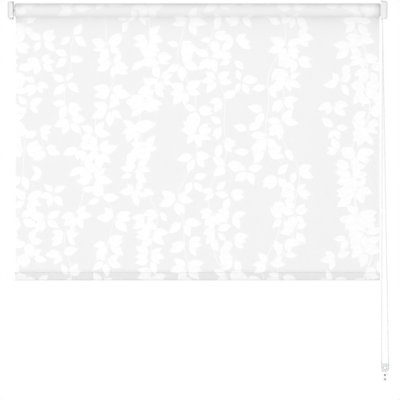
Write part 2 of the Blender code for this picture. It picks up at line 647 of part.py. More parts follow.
# ---- chain --------------------------------------------------------------------------------------------
def chain_route():
    """The endless loop, from above the connector round to below it: up the front strand, over the drive
    wheel, down the back strand and round the tensioner's wheel, which lies a quarter turn from the first."""
    arc, along = 14, 24
    over = [Vector((CHAIN_X, AXIS.y - DRIVE_RADIUS * math.cos(a), DRIVE_RADIUS * math.sin(a)))
            for a in (math.pi * i / arc for i in range(arc + 1))]
    under = [TENSIONER_CENTRE + Vector((TENSION_RADIUS * math.cos(a), 0, -TENSION_RADIUS * math.sin(a)))
             for a in (math.pi * i / arc for i in range(arc + 1))]
    joint = over[0].lerp(under[-1], CONNECTOR_DROP / CHAIN_DROP)
    direction = (over[0] - under[-1]).normalized()
    reach = CONNECTOR_LENGTH / 2 + GAP
    first, last = joint + direction * reach, joint - direction * reach

    def run(a, b, steps):
        return [a.lerp(b, i / steps) for i in range(steps)]

    return (run(first, over[0], along // 2) + over + run(over[-1], under[0], along)[1:] + under
            + run(under[-1], last, along // 2)[1:] + [last]), joint, direction


def make_chain():
    route, joint, direction = chain_route()
    chain = wire("bead_chain", route, BEAD_DIAMETER / 2, parts, CHAIN_PLASTIC)
    half = CONNECTOR_LENGTH / 2
    bm = bmesh.new()
    bmesh.ops.create_cone(bm, cap_ends=True, segments=16, radius1=CONNECTOR_RADIUS,
                          radius2=CONNECTOR_RADIUS, depth=2 * half)
    round_edges(bm, lambda a, b: abs(a.z - b.z) < 1e-6 and abs(abs(a.z) - half) < 1e-6, 0.001, 2)
    turn = direction.to_track_quat("Z", "Y").to_matrix().to_4x4()
    bmesh.ops.transform(bm, matrix=Matrix.Translation(joint) @ turn, verts=bm.verts)
    connector = smooth(as_object("chain_connector", bm, parts, CLEAR_PLASTIC, joint))
    return [chain, connector]


# ---- cloth and hem ------------------------------------------------------------------------------------
def make_sheet():
    half = CLOTH_THICK / 2
    return as_object("fabric_sheet", box_mesh((-HALF, SHEET_Y - half, HEM_TOP + GAP),
                                              (HALF, SHEET_Y + half, 0)), parts, CLOTH)


def hem_profile(x0, x1, inset):
    """A flat oval bar along X; `inset` is how far it lies inside the hem's outline."""
    half_thick = HEM_THICK / 2 - inset
    low = (x0, SHEET_Y - half_thick, -HEM_DROP + inset)
    high = (x1, SHEET_Y + half_thick, HEM_TOP - inset)
    bm = box_mesh(low, high)
    round_edges(bm, lambda a, b: in_plane(a, b, 1, a.y) and in_plane(a, b, 2, a.z), half_thick * 0.92, 4)
    return bm


def hem_sleeve(name, inset, wall, finish, x0, x1):
    bm = hem_profile(x0, x1, inset)
    drop_faces(bm, 0, x0)
    drop_faces(bm, 0, x1)
    sleeve = as_object(name, bm, parts, finish)
    solid = sleeve.modifiers.new("wall", "SOLIDIFY")
    solid.thickness = wall
    solid.offset = -1
    solid.use_even_offset = True
    return smooth(sleeve)


def make_bar_cap(name, side, flange):
    """A plug in the end of the bottom bar; side is -1 on the left and +1 on the right."""
    seat = side * (HALF + GAP)
    out = side * (HALF + GAP + flange)
    deep = side * (HALF - BAR_TONGUE)
    cap = as_object(name, hem_profile(min(seat, out), max(seat, out), 0), parts, WHITE_PLASTIC)
    inset = HEM_CLOTH + GAP + BAR_WALL + GAP
    overlap = side * min(flange, HEM_CLOTH) / 2
    tongue = as_cutter(as_object(f"{name}_tongue", hem_profile(
        min(seat + overlap, deep), max(seat + overlap, deep), inset), cutters))
    return smooth(cut_with(cap, tongue, "UNION"))


def make_hem():
    pocket = hem_sleeve("hem_pocket", 0, HEM_CLOTH, CLOTH, -HALF, HALF)
    bar = hem_sleeve("bottom_bar", HEM_CLOTH + GAP, BAR_WALL, ALUMINIUM, -HALF, HALF)
    return [pocket, bar, make_bar_cap("bar_cap_left", -1, BAR_CAP_LEFT),
            make_bar_cap("bar_cap_right", 1, BAR_CAP_RIGHT)]


# ---- the blind ----------------------------------------------------------------------------------------
clear_scene()
parts = new_collection("roller_blind")
cutters = new_collection("cutters")

roller_axis = empty_at("roller_axis", AXIS)
tube, wound, plug, crown = make_tube(), make_fabric_roll(), make_idle_plug(), make_drive_crown()
hang_on(roller_axis, tube, wound, plug, crown, *make_wrap_springs(), make_idle_spring())
pin_axis = empty_at("idle_pin_axis", AXIS)
hang_on(pin_axis, make_idle_pin())

wheel_axis = empty_at("chain_wheel_axis", AXIS)
hang_on(wheel_axis, make_chain_wheel())
make_spindle()
make_spindle_screw()
make_chain_guard()

make_left_bracket()
make_right_bracket()
make_bracket_screws()
make_left_cover()
make_right_cover()

_, tensioner_depth = make_tensioner()
tension_axis = empty_at("tensioner_wheel_axis", TENSIONER_CENTRE)
hang_on(tension_axis, make_tensioner_wheel(tensioner_depth))
make_chain()

make_sheet()
hem_origin = empty_at("hem_origin", (0, SHEET_Y, HEM_TOP))
hang_on(hem_origin, *make_hem())
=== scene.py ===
# %% [markdown]
# # A printed roller blind
# The blind hangs on two wall brackets. A thin woven cloth is wound on a tube, an endless bead chain on
# the right turns it, and a flat bar sewn in the lower edge keeps the cloth straight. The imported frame
# holds every rigid piece at its true place, in metres, and the pieces made here are fitted to it.

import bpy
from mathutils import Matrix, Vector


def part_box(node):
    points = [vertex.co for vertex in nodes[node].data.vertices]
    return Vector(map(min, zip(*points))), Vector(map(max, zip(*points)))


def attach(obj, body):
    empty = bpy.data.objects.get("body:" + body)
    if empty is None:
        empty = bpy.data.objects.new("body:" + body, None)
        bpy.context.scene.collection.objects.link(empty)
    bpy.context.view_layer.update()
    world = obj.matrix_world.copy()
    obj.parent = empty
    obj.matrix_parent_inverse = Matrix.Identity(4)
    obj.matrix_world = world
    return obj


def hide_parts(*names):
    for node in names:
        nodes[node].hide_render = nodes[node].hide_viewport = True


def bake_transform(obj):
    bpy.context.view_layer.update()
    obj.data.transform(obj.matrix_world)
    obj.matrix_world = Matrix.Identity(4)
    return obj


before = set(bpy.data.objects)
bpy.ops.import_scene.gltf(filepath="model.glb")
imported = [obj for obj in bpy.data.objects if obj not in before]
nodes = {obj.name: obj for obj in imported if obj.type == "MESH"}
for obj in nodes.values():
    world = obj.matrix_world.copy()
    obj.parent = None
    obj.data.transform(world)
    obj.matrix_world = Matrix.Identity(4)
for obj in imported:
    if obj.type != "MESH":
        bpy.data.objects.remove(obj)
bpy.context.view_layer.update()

# %% [markdown]
# The camera looks straight at the wall from far away, so that the tube and the bar stay level and the
# cloth's edges upright. A long lens does this better than an orthographic camera, since it keeps a
# trace of depth on the rounded caps.

# %% Camera
import math

import bpy
from mathutils import Vector

WIDTH_IN_VIEW = 1.32
DISTANCE = 20.0
VIEW_CENTRE = (0.008, -0.016, -0.625)
scene = bpy.context.scene
lens = bpy.data.cameras.new("Straight_View")
lens.sensor_width = 36
lens.lens = 36 * DISTANCE / WIDTH_IN_VIEW
lens.clip_end = 100
camera = bpy.data.objects.new("Straight_View", lens)
camera.location = (VIEW_CENTRE[0], VIEW_CENTRE[1] - DISTANCE, VIEW_CENTRE[2])
camera.rotation_euler = (math.pi / 2, 0, 0)
scene.collection.objects.link(camera)
scene.camera = camera
scene.view_settings.view_transform = "Standard"
print("camera", tuple(round(v, 3) for v in camera.location), "lens", round(lens.lens, 1))

# %% [markdown]
# Small helpers come first. They turn lists of points into a mesh piece, and draw a round wire along a
# line. Building the points directly gives exact sizes taken from the frame, which sculpting or
# simulating wouldn't.

# %% Helpers for pieces
def piece(name, points, faces, smooth=True):
    mesh = bpy.data.meshes.new(name)
    mesh.from_pydata([tuple(p) for p in points], [], faces)
    mesh.polygons.foreach_set("use_smooth", [smooth] * len(mesh.polygons))
    mesh.update()
    obj = bpy.data.objects.new(name, mesh)
    scene.collection.objects.link(obj)
    return obj


def bridge(rows, around, closed=True, first=0):
    """Quads between `rows` rings of `around` points each."""
    faces = []
    for r in range(rows - 1):
        for k in range(around if closed else around - 1):
            a = first + r * around + k
            b = first + r * around + (k + 1) % around
            faces.append((a, b, b + around, a + around))
    return faces


def wire(points, radius, sides, first=0):
    """Points and faces of a round wire along a line of points."""
    path = [Vector(p) for p in points]
    verts, side = [], None
    for i, p in enumerate(path):
        along = (path[min(i + 1, len(path) - 1)] - path[max(i - 1, 0)]).normalized()
        if side is None:
            side = along.orthogonal().normalized()
        side = (side - along * side.dot(along)).normalized()
        up = along.cross(side)
        for k in range(sides):
            a = 2 * math.pi * k / sides
            verts.append(p + side * radius * math.cos(a) + up * radius * math.sin(a))
    faces = bridge(len(path), sides, True, first)
    last = first + (len(path) - 1) * sides
    faces.append(tuple(first + k for k in reversed(range(sides))))
    faces.append(tuple(last + k for k in range(sides)))
    return verts, faces


def ball(radius, around=10, rings=7):
    """Points and faces of a small ball about the origin."""
    verts = [Vector((0, 0, radius))]
    for r in range(1, rings):
        tilt = math.pi * r / rings
        for k in range(around):
            a = 2 * math.pi * k / around
            verts.append(Vector((math.sin(tilt) * math.cos(a), math.sin(tilt) * math.sin(a),
                                 math.cos(tilt))) * radius)
    verts.append(Vector((0, 0, -radius)))
    faces = [(0, 1 + k, 1 + (k + 1) % around) for k in range(around)]
    faces += [tuple(reversed(f)) for f in bridge(rings - 1, around, True, 1)]
    end, last = len(verts) - 1, 1 + (rings - 2) * around
    faces += [(end, last + (k + 1) % around, last + k) for k in range(around)]
    return verts, faces


print("helpers ready")

# %% [markdown]
# The bead chain is an endless loop of moulded beads on a thin cord. It runs over the drive wheel in the
# right cap, makes a quarter turn on its way down and passes under the small wheel of the wall
# tensioner. A clip on the front strand joins its ends. The line is worked out from the wheels' centres
# and pitch radii, so that a bead lies in each pocket. A chain of separate rigid balls could be
# simulated, but a taut chain has only one shape, so the beads are set out along it.

# %% Chain route
BEAD, PITCH, CORD_RADIUS = 0.0045, 0.006, 0.0007
DRIVE_POCKETS, TENSION_POCKETS = 17, 13
DRIVE_RADIUS = DRIVE_POCKETS * PITCH / (2 * math.pi)
TENSION_RADIUS = TENSION_POCKETS * PITCH / (2 * math.pi)
DRIVE_X, IDLE_Y = 0.6090, -0.011
CLIP_REACH, BEAD_IN_CLIP = 0.0073, 0.0030
wheel_low, wheel_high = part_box("chain_wheel")
clip_low, clip_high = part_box("chain_connector")
small_low, small_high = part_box("tensioner_wheel")
drive = Vector((DRIVE_X, (wheel_low[1] + wheel_high[1]) / 2, (wheel_low[2] + wheel_high[2]) / 2))
idle = (Vector(small_low) + Vector(small_high)) / 2
idle.y = IDLE_Y
front_top = drive + Vector((0, -DRIVE_RADIUS, 0))
left_foot = idle - Vector((TENSION_RADIUS, 0, 0))
front_way = (front_top - left_foot).normalized()
clip_z = (clip_low[2] + clip_high[2]) / 2
clip_at = left_foot.lerp(front_top, (clip_z - left_foot.z) / (front_top.z - left_foot.z))
chain_start = clip_at + front_way * CLIP_REACH
chain_end = clip_at - front_way * CLIP_REACH


def on_drive(s):
    a = s / DRIVE_RADIUS
    return drive + Vector((0, -DRIVE_RADIUS * math.cos(a), DRIVE_RADIUS * math.sin(a)))


def on_idle(s):
    a = s / TENSION_RADIUS
    return idle + Vector((TENSION_RADIUS * math.cos(a), 0, -TENSION_RADIUS * math.sin(a)))


def between(a, b):
    """Even steps of about one pitch from a to b, with both ends left out."""
    count = round((b - a).length / PITCH)
    return [a.lerp(b, i / count) for i in range(1, count)]


over = [on_drive(8.5 * PITCH / 2 + k * PITCH) for k in range(-4, 5)]
under = [on_idle(6.5 * PITCH / 2 + (k + 0.5) * PITCH) for k in range(-3, 3)]
first_bead = chain_start + front_way * BEAD_IN_CLIP
last_bead = chain_end - front_way * BEAD_IN_CLIP
beads = [first_bead] + between(first_bead, over[0]) + over + between(over[-1], under[0])
beads += under + between(under[-1], last_bead) + [last_bead]
route = [chain_start] + beads + [chain_end]

# %% [markdown]
# The cord is one thin wire along the route, and each bead is a small ball set on it. A curve with a bevel
# would give the cord alone. One mesh holds both, since the beads are moulded on and never part from it.

# %% Chain piece
verts, faces = wire(route, CORD_RADIUS, 6)
ball_points, ball_faces = ball(BEAD / 2)
for at in beads:
    offset = len(verts)
    verts += [at + p for p in ball_points]
    faces += [tuple(offset + i for i in f) for f in ball_faces]
chain = piece("Bead_Chain_Visual", verts, faces)
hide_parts("bead_chain")
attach(chain, "root")
print("chain faces:", len(chain.data.polygons))

# %% [markdown]
# The cloth is a light woven voile. It comes off the back of the roll, so its upper end lies round the
# roll's back, and it falls flat to the hem with only the faintest ripples and slightly cupped edges. A
# cloth simulation would give the same flat sheet at a high price, so a few long waves give the ripples.

# %% Hanging cloth
roll_low, roll_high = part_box("fabric_roll")
sheet_low, sheet_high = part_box("fabric_sheet")
hem_low, hem_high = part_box("hem_pocket")
HALF = sheet_high[0]
SHEET_Y = (sheet_low[1] + sheet_high[1]) / 2
ROLL_RADIUS = (roll_high[2] - roll_low[2]) / 2
AXIS_Y = (roll_low[1] + roll_high[1]) / 2
HEM_TOP = hem_high[2]
WRAP, WRAP_GAP = math.radians(70), 0.0001
columns, rows, wrap_rows = 121, 104, 12


def ripple(x, z):
    """How far the cloth stands out from its plane: small at the roll and at the hem."""
    calm = math.sin(math.pi * min(1, max(0, -z / -HEM_TOP))) ** 0.6 if z < 0 else 0
    waves = 0.0006 * math.sin(9.1 * x + 1.2) + 0.0004 * math.sin(23.0 * x - 5.0 * z)
    cupped = -0.0016 * (abs(x) / HALF) ** 14
    return calm * (waves + cupped)


points = []
for r in range(wrap_rows):
    share = 1 - r / wrap_rows
    turn = WRAP * share
    radius = (SHEET_Y - AXIS_Y) * (1 - share) + (ROLL_RADIUS + WRAP_GAP) * share
    points += [(-HALF + 2 * HALF * c / (columns - 1), AXIS_Y + radius * math.cos(turn),
                radius * math.sin(turn)) for c in range(columns)]
for r in range(rows):
    z = (HEM_TOP - 0.0008) * r / (rows - 1)
    for c in range(columns):
        x = -HALF + 2 * HALF * c / (columns - 1)
        points.append((x, SHEET_Y + ripple(x, z), z))
cloth = piece("Hanging_Cloth", points, bridge(wrap_rows + rows, columns, False))
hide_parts("fabric_sheet")
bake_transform(cloth)

# %% [markdown]
# The wound cloth is the same voile, about eight layers deep on the tube. Its two ends show the layers'
# cut edges as a fine spiral. One closed outer skin and a spiral ribbon under it give those edges. The
# print is laid out along each layer's length, so every point keeps its place on the cloth as an
# attribute.

# %% Wound cloth
LAYER, STEPS = 0.0005, 60
tube_radius = (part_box("roller_tube")[1][2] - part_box("roller_tube")[0][2]) / 2
turns = int((ROLL_RADIUS - tube_radius) / LAYER) - 1
points, faces, on_cloth = [], [], []


def layer(steps, outer_at, edge_at):
    """One stretch of the ribbon: its outer face, and its left and right edges as strips of their own."""
    for side in (None, -1, 1):
        begin = len(points)
        for k in range(steps + 1):
            turn = 2 * math.pi * k / STEPS
            y, z = math.cos(turn), math.sin(turn)
            outer, edge = outer_at(k / STEPS), edge_at(k / STEPS)
            pair = ((-edge, outer), (edge, outer))
            if side is not None:
                pair = ((side * edge, outer - LAYER * 0.8), (side * edge, outer))
            for x, radius in pair:
                points.append((x, AXIS_Y + radius * y, radius * z))
                on_cloth.append((x, 0, ROLL_RADIUS * turn))
        faces.extend(bridge(steps + 1, 2, False, begin))


def wound_edge(around):
    """Where the cut edge of an inner layer lies: no layer is wound quite true."""
    uneven = abs(math.sin(around * 2.1)) * (0.4 + 0.6 * math.sin(around) ** 2)
    return HALF + 0.0004 - 0.0006 * uneven


layer(STEPS, lambda around: ROLL_RADIUS, lambda around: HALF + 0.0006)
layer(turns * STEPS, lambda around: ROLL_RADIUS - LAYER * (1 + around), wound_edge)
wound = piece("Wound_Cloth", points, faces)
place = wound.data.attributes.new("cloth_place", "FLOAT_VECTOR", "POINT")
place.data.foreach_set("vector", [v for p in on_cloth for v in p])
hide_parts("fabric_roll")
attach(wound, "roller")
print("wound turns:", turns + 1, "faces:", len(faces))

# %% [markdown]
# The lower edge is folded up round the bottom bar and sewn above it. The sleeve follows the bar's
# rounded outline with slight slack between the threads, the turned-up edge lies on the back, and a row
# of lockstitches runs along both sides. The stitches are short lengths of thread, since a painted line
# would look flat close up.

# %% Hem sleeve
def outline(y_middle, half, low, high, radius, steps=6):
    """A rounded rectangle in the plane across the hem, counter-clockwise seen from the right."""
    loop = []
    for cy, cz, begin in ((half - radius, high - radius, 0), (radius - half, high - radius, 90),
                          (radius - half, low + radius, 180), (half - radius, low + radius, 270)):
        for k in range(steps + 1):
            a = math.radians(begin + 90 * k / steps)
            loop.append((y_middle + cy + radius * math.cos(a), cz + radius * math.sin(a)))
    return loop


half_hem = (hem_high[1] - hem_low[1]) / 2
section = outline(SHEET_Y, half_hem, hem_low[2], hem_high[2], half_hem * 0.92)
slices = 241
points = []
for s in range(slices):
    x = -HALF + 2 * HALF * s / (slices - 1)
    slack = 0.00012 * math.sin(31 * x) + 0.00008 * math.sin(83 * x + 1)
    for y, z in section:
        out = Vector((y - SHEET_Y, (z - (hem_low[2] + HEM_TOP) / 2) * 0.3)).normalized()
        points.append((x, y + out.x * slack, z + out.y * slack * 0.4))
sleeve = piece("Hem_Sleeve", points, bridge(slices, len(section)))
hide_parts("hem_pocket")
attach(sleeve, "hem")

# %% [markdown]
# The turned-up edge is a narrow strip on the back of the cloth. Two threads lock through it, one row in
# front and one behind, and each stitch dips into the cloth at both ends, so it casts its own small shade.

# %% Hem allowance and stitches
rows = [(SHEET_Y + 0.0020, HEM_TOP - 0.0012), (SHEET_Y + 0.0009, HEM_TOP + 0.0006),
        (SHEET_Y + 0.0005, HEM_TOP + 0.0030), (SHEET_Y + 0.0006, HEM_TOP + 0.0078),
        (SHEET_Y + 0.0009, HEM_TOP + 0.0080)]
points = []
for y, z in rows:
    for s in range(slices):
        x = -HALF + 2 * HALF * s / (slices - 1)
        points.append((x, y + 0.00008 * math.sin(47 * x), z + 0.0002 * math.sin(19 * x)))
allowance = piece("Hem_Allowance", points, bridge(len(rows), slices, False))
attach(allowance, "hem")
points, faces = [], []
stitch, gap, THREAD_RADIUS = 0.0024, 0.0032, 0.00027
for side in (-0.00035, 0.00085):
    for k in range(int(2 * HALF / gap) - 1):
        x = -HALF + gap * (k + 0.8)
        y, z = SHEET_Y + side, HEM_TOP + 0.0045
        into = y + (0.0003 if side < 0 else -0.0003)
        line = [(x, into, z), (x + stitch * 0.2, y, z + 0.0001),
                (x + stitch * 0.8, y, z - 0.0001), (x + stitch, into, z)]
        v, f = wire(line, THREAD_RADIUS, 5, len(points))
        points += v
        faces += f
stitches = piece("Hem_Stitches", points, faces)
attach(stitches, "hem")
print("sleeve, allowance and stitches:", [len(o.data.polygons) for o in (sleeve, allowance, stitches)])

# %% [markdown]
# Three springs are hidden in the tube: one presses the idle pin out to the left, and two grip the
# clutch's spindle. Each is drawn wire wound in a helix. A curve with a bevel could draw it too, but the
# same wire helper serves. The pin's spring shortens as the pin goes in, but here it is one fixed coil;
# only the two on the spindle go with the roller.

# %% Springs
def spring(name, node, wire_radius, turns):
    low, high = (Vector(v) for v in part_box(node))
    radius = (high.z - low.z) / 2 - wire_radius
    middle = (low + high) / 2
    begin, end = low.x + wire_radius, high.x - wire_radius
    line, steps = [], int(turns * 28)
    for k in range(steps + 1):
        share = k / steps
        a = 2 * math.pi * turns * share
        line.append((begin + (end - begin) * share, middle.y + radius * math.cos(a),
                     middle.z + radius * math.sin(a)))
    v, f = wire(line, wire_radius, 8)
    coil = piece(name, v, f)
    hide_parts(node)
    return coil


wraps = [spring(f"Wrap_Spring_{i}", f"wrap_spring_{i}", 0.0008, 4.5) for i in (1, 2)]
for coil in wraps:
    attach(coil, "roller")
pin_spring = spring("Idle_Pin_Spring", "idle_spring", 0.0004, 7)
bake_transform(pin_spring)
print("springs:", [c.name for c in wraps + [pin_spring]])

# %% [markdown]
# A moulded cap slips over each bracket. It is a thin shell, open towards the wall and the roller, with
# wide rounded edges and a shallow panel in its end. Rings drawn inwards from the cap's outline give
# smooth edges at any size, and thickening the surface gives the wall. The right cap has an opening for
# the chain.

# %% Caps
WALL, CORNER = 0.0018, 0.0085


def settle(obj, angle=35):
    """Turns the modifiers into plain mesh and marks sharp edges."""
    bpy.context.view_layer.update()
    made = bpy.data.meshes.new_from_object(obj.evaluated_get(bpy.context.evaluated_depsgraph_get()))
    obj.modifiers.clear()
    obj.data = made
    made.polygons.foreach_set("use_smooth", [True] * len(made.polygons))
    made.set_sharp_from_angle(angle=math.radians(angle))


def block(low, high, first=0):
    """Points and faces of a small box."""
    xs, ys, zs = zip(low, high)
    corners = [(x, y, z) for x in xs for y in ys for z in zs]
    sides = [(0, 1, 3, 2), (4, 6, 7, 5), (0, 4, 5, 1), (2, 3, 7, 6), (0, 2, 6, 4), (1, 5, 7, 3)]
    return corners, [tuple(first + i for i in side) for side in sides]


def cap(name, node, rim):
    low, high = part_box(node)
    out = 1 if rim > 0 else -1
    end, front, wall, half = (high[0] if out > 0 else low[0]), low[1], high[1], high[2]
    rings = [(rim, 0.0, CORNER), (rim + out * 0.001, 0.0, CORNER), (end - out * CORNER, 0.0, CORNER)]
    for k in range(1, 13):
        a = math.pi / 2 * k / 12
        inset = CORNER * (1 - math.cos(a))
        rings.append((end - out * CORNER * (1 - math.sin(a)), inset, max(CORNER - inset, 0.0015)))
    panel = ((0, 0.0015), (0.00015, 0.0019), (0.0005, 0.0022), (0.00055, 0.0030), (0.00055, 0.0060))
    for depth, inset in panel:
        rings.append((end - out * depth, CORNER + inset, 0.0025))
    points = []
    for x, inset, radius in rings:
        top, face = half - inset, front + inset
        upper = [(wall, top), (wall * 0.7 + face * 0.3, top), (face + radius + 0.0005, top)]
        upper += [(face + radius * (1 - math.sin(t)), top - radius * (1 - math.cos(t)))
                  for t in (math.pi / 2 * k / 10 for k in range(11))]
        loop = upper + [(y, -z) for y, z in reversed(upper)]
        points += [(x, y, z) for y, z in (loop if out > 0 else reversed(loop))]
    count = len(loop)
    faces = bridge(len(rings), count, False) + [tuple(range(len(points) - count, len(points)))]
    shell = piece(name, points, faces)
    thick = shell.modifiers.new("wall", "SOLIDIFY")
    thick.thickness = WALL
    thick.offset = -1
    thick.use_even_offset = True
    return shell


left_rim, right_rim = -HALF - 0.0093, HALF + 0.0017
left_cap = cap("Left_Cap", "left_cover", left_rim)
settle(left_cap)
extra, clip_faces = [], []
for sign in (1, -1):
    z0, z1 = sorted((sign * 0.02885, sign * 0.02745))
    v, f = block((left_rim - WALL, AXIS_Y - 0.0055, z0),
                 (left_rim + 0.0028, AXIS_Y + 0.0055, z1), len(extra))
    extra += v
    clip_faces += f
clips = piece("Left_Cap_Clips", extra, clip_faces, False)
rounding = clips.modifiers.new("radius", "BEVEL")
rounding.width = 0.0003
rounding.segments = 3
right_cap = cap("Right_Cap", "right_cover", right_rim)
reach = DRIVE_RADIUS + BEAD / 2 + 0.0015
opening = piece("opening", *block((right_rim - 0.004, AXIS_Y - reach, -0.06),
                                  (drive.x + 0.0036, AXIS_Y + reach, -0.0155)), False)
cut = right_cap.modifiers.new("opening", "BOOLEAN")
cut.object = opening
cut.solver = "EXACT"
settle(right_cap)
bpy.data.objects.remove(opening)
for obj, cover in ((left_cap, "left_cover"), (right_cap, "right_cover")):
    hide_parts(cover)
    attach(obj, cover)
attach(clips, "left_cover")
print("caps:", len(left_cap.data.polygons), len(right_cap.data.polygons))

# %% [markdown]
# Seven pan-head screws with a cross recess: two through each bracket, two through the tensioner's tab
# into the wall, and one that holds the clutch's spindle. A turned profile gives the head, and the
# shank's radius follows the thread's helix as it goes round, which makes a true thread without a
# separate cutter.

# %% Screws
def screw(name, node, body, start, way, length, head_radius, core, thread, pitch, taper):
    """A screw from the top of its head at `start` along `way`."""
    way = Vector(way)
    side = way.orthogonal().normalized()
    up = way.cross(side)
    around, head = 32, 0.0024
    rings = [(0, share) for share in (0.02, 0.15, 0.30, 0.45, 0.58, 0.66)]
    rings += [(0.10, 0.80), (0.28, 0.92), (0.55, 0.99), (0.80, 1.0), (1.0, 1.0), (1.0, 0.7)]
    points = []
    for depth, share in rings:
        for k in range(around):
            a = 2 * math.pi * k / around
            cross = min(1, max(0, (abs(math.cos(2 * a)) - 0.62) * 5)) if share > 0.16 else 1
            recess = 0.0013 * cross * max(0, 1 - share / 0.62) ** 0.4
            points.append(start + way * (head * depth + recess)
                          + (side * math.cos(a) + up * math.sin(a)) * head_radius * share)
    steps = int((length - head) / (pitch / 6))
    for r in range(steps + 1):
        t = head + (length - head) * r / steps
        near_end = min(1, (length - t) / taper) if taper else 1
        for k in range(around):
            a = 2 * math.pi * k / around
            phase = (t / pitch - k / around) % 1
            ridge = thread * max(0, 1 - abs(phase - 0.5) * 3.2) * min(1, (t - head) / 0.002)
            radius = (core + ridge) * max(0.04, near_end)
            points.append(start + way * t + (side * math.cos(a) + up * math.sin(a)) * radius)
    faces = bridge(len(rings) + steps + 1, around) + [tuple(range(around))]
    faces.append(tuple(len(points) - around + k for k in reversed(range(around))))
    made = piece(name, points, faces)
    made.data.set_sharp_from_angle(angle=math.radians(50))
    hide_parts(node)
    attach(made, body)
    return made


screws = []
wall_screws = [f"{on}_screw_{i}" for on in ("left_bracket", "right_bracket", "tensioner") for i in (1, 2)]
for node in wall_screws:
    low, high = (Vector(v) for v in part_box(node))
    middle = (low + high) / 2
    start = Vector((middle.x, low.y, middle.z))
    screws.append(screw(node.title() + "_Cross", node, "root", start, (0, 1, 0), high.y - low.y,
                        (high.x - low.x) / 2, 0.00125, 0.00042, 0.0014, 0.004))
low, high = (Vector(v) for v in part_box("spindle_screw"))
start = Vector((high.x, (low.y + high.y) / 2, (low.z + high.z) / 2))
screws.append(screw("Spindle_Screw_Cross", "spindle_screw", "root", start, (-1, 0, 0), high.x - low.x,
                    (high.z - low.z) / 2, 0.00115, 0.00022, 0.0009, 0))
print("screws:", len(screws), "faces each:", len(screws[0].data.polygons))

# %% [markdown]
# The tensioner's wheel shows through its clear housing. It has a hub, a thin web, two flanges and a
# groove with a rounded pocket for every bead. Pockets could be cut with one Boolean each, but here the
# groove's radius simply drops wherever a bead's hollow lies, so they are part of the turned shape.

# %% Tensioner wheel
HOLLOW, FLOOR_GAP = 0.0031, 0.00095
front_y, groove = small_low[1], 0.0029
flange_back = 2 * idle.y - front_y
rim = (small_high[2] - small_low[2]) / 2
floor_radius = TENSION_RADIUS - BEAD / 2 - FLOOR_GAP
step_angle = 2 * math.pi / TENSION_POCKETS
profile = [(front_y, 0.0028), (front_y, 0.0055), (front_y + 0.0004, 0.0058), (front_y + 0.0009, 0.0062),
           (front_y + 0.0009, 0.0085), (front_y + 0.0004, 0.0106), (front_y, 0.0110),
           (front_y, rim - 0.0004),
           (front_y + 0.0002, rim - 0.0001), (front_y + 0.0004, rim), (front_y + 0.0009, rim)]
profile += [(idle.y + groove * j / 5, None) for j in range(-5, 6)]
profile += [(flange_back - 0.0009, rim), (flange_back - 0.0004, rim), (flange_back, rim - 0.0004),
            (flange_back, 0.0055), (small_high[1], 0.0055), (small_high[1], 0.0028), (front_y, 0.0028)]
around = TENSION_POCKETS * 10
points = []
for y, radius in profile:
    for k in range(around):
        a = 2 * math.pi * k / around
        r = radius
        if r is None:
            off = TENSION_RADIUS * ((a + step_angle / 2) % step_angle - step_angle / 2)
            left = HOLLOW ** 2 - off ** 2 - (y - idle.y) ** 2
            r = min(floor_radius, TENSION_RADIUS - math.sqrt(left)) if left > 0 else floor_radius
        points.append((idle.x + r * math.sin(a), y, idle.z + r * math.cos(a)))
small_wheel = piece("Tensioner_Wheel_Pocketed", points, bridge(len(profile), around))
small_wheel.data.set_sharp_from_angle(angle=math.radians(40))
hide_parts("tensioner_wheel")
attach(small_wheel, "tensioner_wheel")
print("tensioner wheel faces:", len(small_wheel.data.polygons))

# %% [markdown]
# ## Finishes
# Shared effects are node groups, and a short helper writes their arithmetic. The print shows white
# leaves in clusters along wandering vertical stems on a pale grey ground.

# %% Node helpers
def new_group(name, inputs, outputs):
    """A shader node group with named sockets: (name, kind, default) in, (name, kind) out."""
    group = bpy.data.node_groups.new(name, "ShaderNodeTree")
    for label, kind, value in inputs:
        made = group.interface.new_socket(name=label, in_out="INPUT", socket_type="NodeSocket" + kind)
        if value is not None:
            made.default_value = value
    for label, kind in outputs:
        group.interface.new_socket(name=label, in_out="OUTPUT", socket_type="NodeSocket" + kind)
    source = group.nodes.new("NodeGroupInput")
    target = group.nodes.new("NodeGroupOutput")
    return group, source.outputs, target.inputs


def feed(tree, socket, value):
    if isinstance(value, bpy.types.NodeSocket):
        tree.links.new(value, socket)
    else:
        socket.default_value = value


def maths(tree, operation, *values, clamp=False):
    node = tree.nodes.new("ShaderNodeMath")
    node.operation = operation
    node.use_clamp = clamp
    for socket, value in zip(node.inputs, values):
        feed(tree, socket, value)
    return node.outputs[0]


def times(tree, a, b):
    return maths(tree, "MULTIPLY", a, b)


def plus(tree, a, b, clamp=False):
    return maths(tree, "ADD", a, b, clamp=clamp)


def minus(tree, a, b):
    return maths(tree, "SUBTRACT", a, b)


def node_of(tree, kind, settings=None, **inputs):
    """A node with its settings and its inputs by socket name, underscores standing for spaces."""
    node = tree.nodes.new(kind)
    for key, value in (settings or {}).items():
        setattr(node, key, value)
    for key, value in inputs.items():
        feed(tree, node.inputs[key.replace("_", " ")], value)
    return node


def use(tree, group, **inputs):
    node = tree.nodes.new("ShaderNodeGroup")
    node.node_tree = group
    for key, value in inputs.items():
        feed(tree, node.inputs[key.replace("_", " ")], value)
    return node.outputs


def step(tree, value, low, high, to_low=0.0, to_high=1.0):
    """Smooth ramp of a value from low to high."""
    node = node_of(tree, "ShaderNodeMapRange", {"interpolation_type": "SMOOTHSTEP"}, Value=value,
                   From_Min=low, From_Max=high, To_Min=to_low, To_Max=to_high)
    return node.outputs["Result"]


def own_place(tree):
    """Where a spot lies on the piece itself, in metres, so that a finish moves with its piece."""
    return tree.nodes.new("ShaderNodeTexCoord").outputs["Object"]


